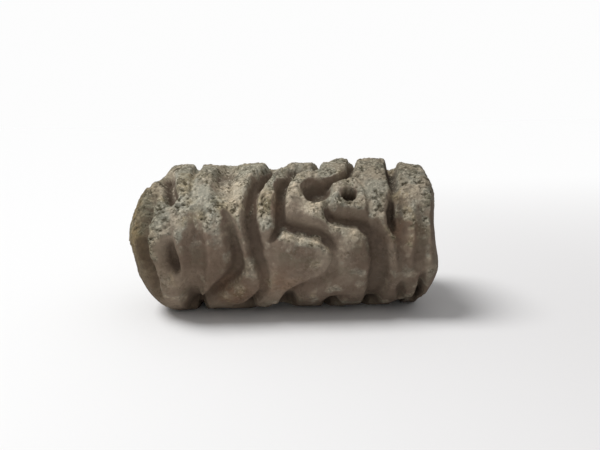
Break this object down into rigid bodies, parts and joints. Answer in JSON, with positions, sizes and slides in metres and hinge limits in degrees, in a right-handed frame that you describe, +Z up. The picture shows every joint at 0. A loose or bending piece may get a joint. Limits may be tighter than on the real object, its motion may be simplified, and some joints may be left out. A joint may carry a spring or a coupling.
{
  "type": "cylinder seal",
  "caption": "Hand-made fired-clay cylinder seal: a stubby roller with rounded ends, pierced lengthwise, its skin cut with a deep scroll pattern that prints when it is rolled.",
  "frame": {"origin": "middle of the underside, on the surface that the roller lies on", "axes": "+X along the roller's axis, towards the flatter end; +Z up; the pictured face of the pattern looks along -Y"},
  "size_m": [0.0784, 0.0384, 0.0389],
  "materials": {
    "fired_clay": "unglazed brown-grey clay, worn smooth low down and crusted with pale sandy soil on top"
  },
  "bodies": {
    "root": {"seal_roller": "fired_clay"}
  },
  "joints": []
}
